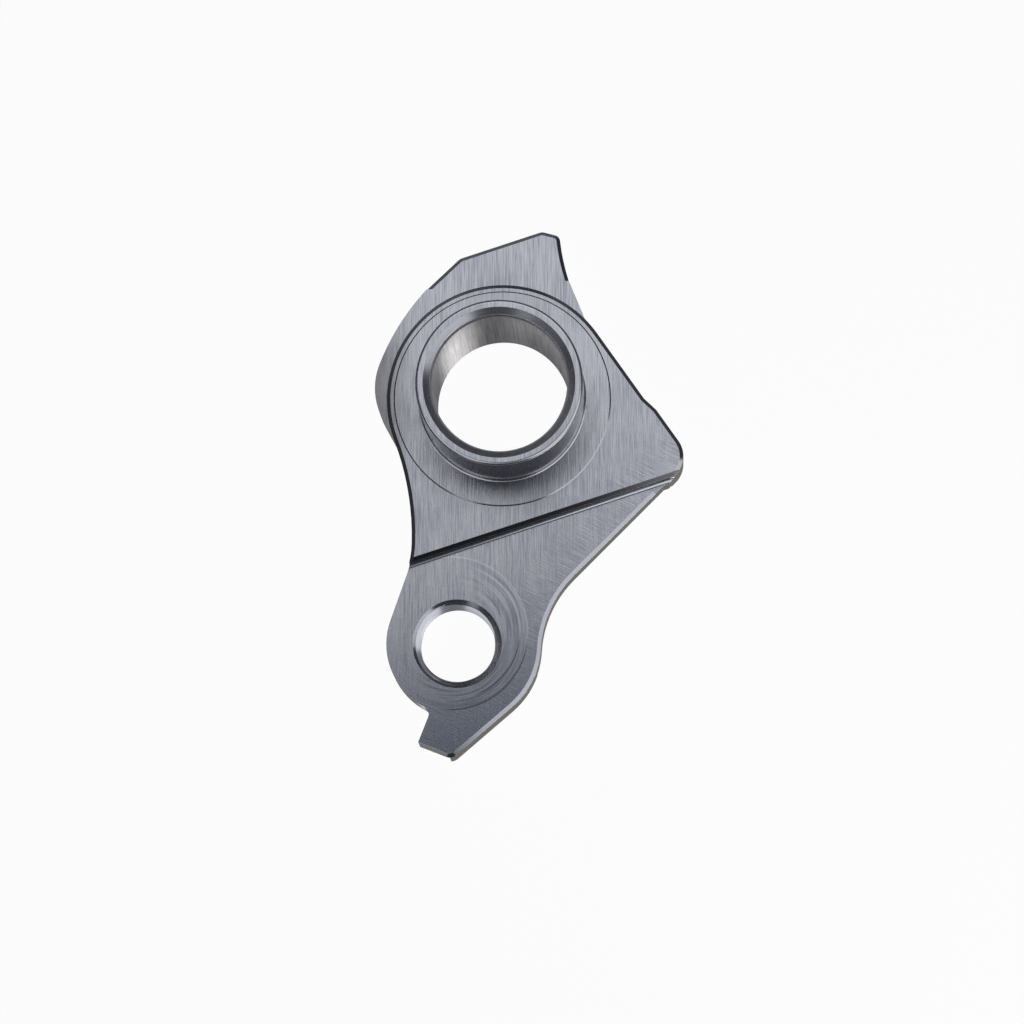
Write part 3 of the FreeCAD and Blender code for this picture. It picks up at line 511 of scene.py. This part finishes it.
@dataclass
class DerailleurThread:
    """The M10 x 1 thread in the derailleur eye: one helical ridge on the hole's wall."""

    centre_x: float = -5.4 * MM
    centre_y: float = -29.35 * MM
    root_radius: float = 5.0 * MM
    crest_radius: float = 4.5 * MM
    pitch: float = 1.0 * MM
    root_flat: float = 0.125 * MM
    crest_flat: float = 0.25 * MM
    bury: float = 0.03 * MM
    low: float = 0.0
    high: float = 5.8 * MM
    mouth: float = 0.35 * MM
    steps_per_turn: int = 96
    flank_steps: int = 4
    merge_distance: float = 0.0005 * MM

    def _section(self) -> list[Vector]:
        """Closed section of the ridge in the XZ plane, at the first turn.

        Returns:
            The section's corners in order, with steps along both flanks.
        """
        half_base = (self.pitch - self.root_flat) / 2
        half_crest = self.crest_flat / 2
        wall = self.root_radius + self.bury
        lower = [(wall + (self.crest_radius - wall) * i / self.flank_steps,
                  -half_base + (half_base - half_crest) * i / self.flank_steps)
                 for i in range(self.flank_steps + 1)]
        upper = [(radius, -height) for radius, height in reversed(lower)]
        return [Vector((radius, 0.0, height)) for radius, height in lower + upper]

    def build(self, finish: bpy.types.Material) -> bpy.types.Object:
        """Screws the section up the hole and cuts the ridge back to both chamfers.

        Args:
            finish: the thread's material.

        Returns:
            The thread.
        """
        work = bmesh.new()
        start = self.low + self.pitch / 4
        turns = (self.high - self.low - self.pitch / 2) / self.pitch
        corners = [work.verts.new(point + Vector((0.0, 0.0, start))) for point in self._section()]
        edges = [work.edges.new((a, b)) for a, b in zip(corners, corners[1:] + corners[:1])]
        first = bmesh.ops.contextual_create(work, geom=edges)["faces"]
        bmesh.ops.spin(work, geom=edges, cent=(0.0, 0.0, 0.0), axis=(0.0, 0.0, 1.0),
                       dvec=(0.0, 0.0, self.pitch / self.steps_per_turn),
                       angle=math.tau * turns, steps=round(self.steps_per_turn * turns),
                       use_merge=False, use_duplicate=False)
        open_edges = [edge for edge in work.edges if len(edge.link_faces) == 1]
        if open_edges:
            bmesh.ops.contextual_create(work, geom=open_edges)
        LOG.debug("thread ends closed: %d and %d", len(first), len(open_edges))
        for vert in work.verts:
            radius = math.hypot(vert.co.x, vert.co.y)
            reach = self.root_radius + self.mouth
            limit = max(reach - (self.high - vert.co.z), reach - (vert.co.z - self.low))
            wanted = max(radius, min(limit + self.bury / 3, reach))
            vert.co.x *= wanted / radius
            vert.co.y *= wanted / radius
            vert.co.z = min(max(vert.co.z, self.low + self.mouth / 2), self.high - self.mouth / 2)
        bmesh.ops.triangulate(work, faces=work.faces)
        bmesh.ops.remove_doubles(work, verts=work.verts, dist=self.merge_distance)
        bmesh.ops.dissolve_degenerate(work, edges=work.edges, dist=self.merge_distance)
        bmesh.ops.recalc_face_normals(work, faces=work.faces)
        bmesh.ops.translate(work, verts=work.verts, vec=(self.centre_x, self.centre_y, 0.0))
        for face in work.faces:
            face.smooth = True
        for edge in work.edges:
            edge.smooth = edge.calc_face_angle(0.0) < math.radians(40.0)
        mesh = bpy.data.meshes.new("derailleur_thread")
        work.to_mesh(mesh)
        work.free()
        mesh.materials.append(finish)
        thread = bpy.data.objects.new("derailleur_thread", mesh)
        bpy.context.scene.collection.objects.link(thread)
        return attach(thread, "root")


@dataclass
class SoftBox:
    """One studio light panel that faces a point of the part."""

    name: str
    azimuth: float
    elevation: float
    distance: float
    width: float
    height: float
    watts: float
    colour: Colour = (1.0, 1.0, 1.0)
    lights_floor: bool = False
    target: Vector = field(default_factory=lambda: Vector((0.0, -0.01, 0.006)))

    def build(self) -> bpy.types.Object:
        """Makes the panel.

        Returns:
            The light.
        """
        turn, rise = math.radians(self.azimuth), math.radians(self.elevation)
        away = Vector((math.cos(turn) * math.cos(rise), math.sin(turn) * math.cos(rise), math.sin(rise)))
        data = bpy.data.lights.new(self.name, "AREA")
        data.shape = "RECTANGLE"
        data.size, data.size_y = self.width, self.height
        data.energy = self.watts
        data.color = self.colour
        panel = bpy.data.objects.new(self.name, data)
        panel.location = self.target + away * self.distance
        panel.rotation_euler = (-away).to_track_quat("-Z", "Y").to_euler()
        panel.visible_diffuse = self.lights_floor
        bpy.context.scene.collection.objects.link(panel)
        return panel


@dataclass
class Studio:
    """Pale floor, light panels, dim room and the camera of the photograph."""

    floor_width: float = 8.0
    floor_level: float = -0.2 * MM
    card_level: float = -150.0 * MM
    band_reach: float = 0.6
    room: Colour = (0.035, 0.037, 0.045)
    camera_place: tuple[float, float, float] = (0.021329, -0.103685, 0.684709)
    camera_right: tuple[float, float, float] = (0.99956398, 0.00212948, -0.02945036)
    camera_up: tuple[float, float, float] = (0.00176831, 0.99128869, 0.13169511)
    camera_back: tuple[float, float, float] = (0.02947425, -0.13168977, 0.9908527)
    focal_pixels: float = 5709.0

    def build(self) -> None:
        """Sets up everything that isn't the part."""
        self._room()
        self._floor()
        self._camera()
        for panel in (
            SoftBox("overhead", 88.0, 62.0, 0.32, 0.38, 0.30, 0.40),
            SoftBox("side_key", -29.5, 26.0, 0.09, 0.114, 0.10, 0.042),
            SoftBox("left_fill", -135.0, 40.0, 0.30, 0.30, 0.25, 0.22),
            SoftBox("low_fill", -116.0, 6.4, 0.30, 0.08, 0.06, 0.0075),
        ):
            panel.build()

    def _room(self) -> None:
        """Gives the surroundings their dim even light."""
        world = bpy.data.worlds.new("room")
        world.use_nodes = True
        background = world.node_tree.nodes["Background"]
        background.inputs["Color"].default_value = (*self.room, 1.0)
        background.inputs["Strength"].default_value = 1.0
        bpy.context.scene.world = world
        bpy.context.scene.view_settings.view_transform = "Standard"

    def _floor(self) -> None:
        """Lays the plain pale floor."""
        work = bmesh.new()
        bmesh.ops.create_grid(work, x_segments=1, y_segments=1, size=self.floor_width / 2)
        bmesh.ops.translate(work, verts=work.verts, vec=(0.0, 0.0, self.floor_level))
        mesh = bpy.data.meshes.new("floor")
        work.to_mesh(mesh)
        work.free()
        material = bpy.data.materials.new("pale_floor")
        graph = ShaderGraph(material)
        surface = graph.node("ShaderNodeBsdfPrincipled", inputs={
            "Base Color": (0.15, 0.15, 0.15, 1.0), "Roughness": 0.9,
            "Emission Color": (1.0, 1.0, 1.0, 1.0), "Emission Strength": 0.95})["BSDF"]
        graph.node("ShaderNodeOutputMaterial", inputs={"Surface": surface})
        mesh.materials.append(material)
        floor = bpy.data.objects.new("floor", mesh)
        floor.visible_glossy = False
        floor.visible_shadow = False
        bpy.context.scene.collection.objects.link(floor)
        dim_card = self._card("dim_card", 78.0 * MM, (0.0, -10.0 * MM), 0.0, (0.21, 0.195, 0.185))
        tail_card = self._card("tail_card", 11.0 * MM, (-23.0 * MM, -53.0 * MM), 1.0 * MM,
                               (1.5, 1.45, 1.4))
        bore_card = self._card("bore_card", 60.0 * MM, (118.0 * MM, -92.0 * MM), 2.0 * MM,
                               (5.4, 5.3, 5.2))
        low_band = self._band("low_band", -50.0, -8.0, (0.30, 0.30, 0.315))
        high_band = self._band("high_band", 19.0, 60.0, (0.34, 0.34, 0.36))

    def _band(self, name: str, low: float, high: float, glow: Colour) -> bpy.types.Object:
        """Hangs a glowing ring round the part, which only its shiny sides mirror.

        Args:
            name: name of the ring.
            low: elevation in degrees of its lower rim, seen from the part.
            high: elevation of its upper rim.
            glow: colour of its light.

        Returns:
            The ring.
        """
        rims = [(self.band_reach * math.cos(math.radians(rise)), self.band_reach * math.sin(math.radians(rise)))
                for rise in (low, high)]
        work = bmesh.new()
        bmesh.ops.create_cone(work, cap_ends=False, segments=96, radius1=rims[0][0], radius2=rims[1][0],
                              depth=rims[1][1] - rims[0][1])
        bmesh.ops.translate(work, verts=work.verts, vec=(0.0, 0.0, (rims[0][1] + rims[1][1]) / 2))
        return self._glowing(name, work, glow)

    def _card(self, name: str, half: float, place: tuple[float, float], lift: float,
              glow: Colour) -> bpy.types.Object:
        """Lays a square card far under the part, where only the part's walls mirror it.

        Args:
            name: name of the card.
            half: half its width.
            place: its middle, across and up.
            lift: height above the level of the cards.
            glow: colour of its light.

        Returns:
            The card.
        """
        work = bmesh.new()
        bmesh.ops.create_grid(work, x_segments=1, y_segments=1, size=half)
        bmesh.ops.translate(work, verts=work.verts, vec=(*place, self.card_level + lift))
        return self._glowing(name, work, glow)

    @staticmethod
    def _glowing(name: str, work: bmesh.types.BMesh, glow: Colour) -> bpy.types.Object:
        """Turns a mesh into a light source that only mirrored rays see.

        Args:
            name: name of the object.
            work: its mesh, which is freed.
            glow: colour of its light.

        Returns:
            The object.
        """
        mesh = bpy.data.meshes.new(name)
        work.to_mesh(mesh)
        work.free()
        material = bpy.data.materials.new(name)
        graph = ShaderGraph(material)
        light = graph.node("ShaderNodeEmission", inputs={
            "Color": (*glow, 1.0), "Strength": 1.0})["Emission"]
        graph.node("ShaderNodeOutputMaterial", inputs={"Surface": light})
        mesh.materials.append(material)
        card = bpy.data.objects.new(name, mesh)
        card.visible_camera = False
        card.visible_shadow = False
        card.visible_diffuse = False
        bpy.context.scene.collection.objects.link(card)
        return card

    def _camera(self) -> None:
        """Places the camera where the photograph was taken."""
        data = bpy.data.cameras.new("camera")
        data.sensor_width = SENSOR_MM
        data.lens = self.focal_pixels / PHOTO_PIXELS * SENSOR_MM
        data.clip_start = 0.01
        data.clip_end = 20.0
        camera = bpy.data.objects.new("camera", data)
        turn = Matrix((self.camera_right, self.camera_up, self.camera_back)).transposed()
        camera.matrix_world = Matrix.Translation(self.camera_place) @ turn.to_4x4()
        bpy.context.scene.collection.objects.link(camera)
        bpy.context.scene.camera = camera


def report(piece: bpy.types.Object) -> None:
    """Logs a piece's name and how many faces it has."""
    LOG.info("%s: %d faces", piece.name, len(piece.data.polygons))


def main() -> None:
    """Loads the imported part, dresses it and sets the studio."""
    logging.basicConfig(level=logging.INFO, format="%(name)s: %(message)s")
    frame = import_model()
    Studio().build()
    finish = MilledAluminium().build("milled_aluminium")
    report(MilledBody(frame).build(finish))
    report(DerailleurThread().build(finish))
    bpy.context.view_layer.update()


if __name__ == "__main__":
    main()
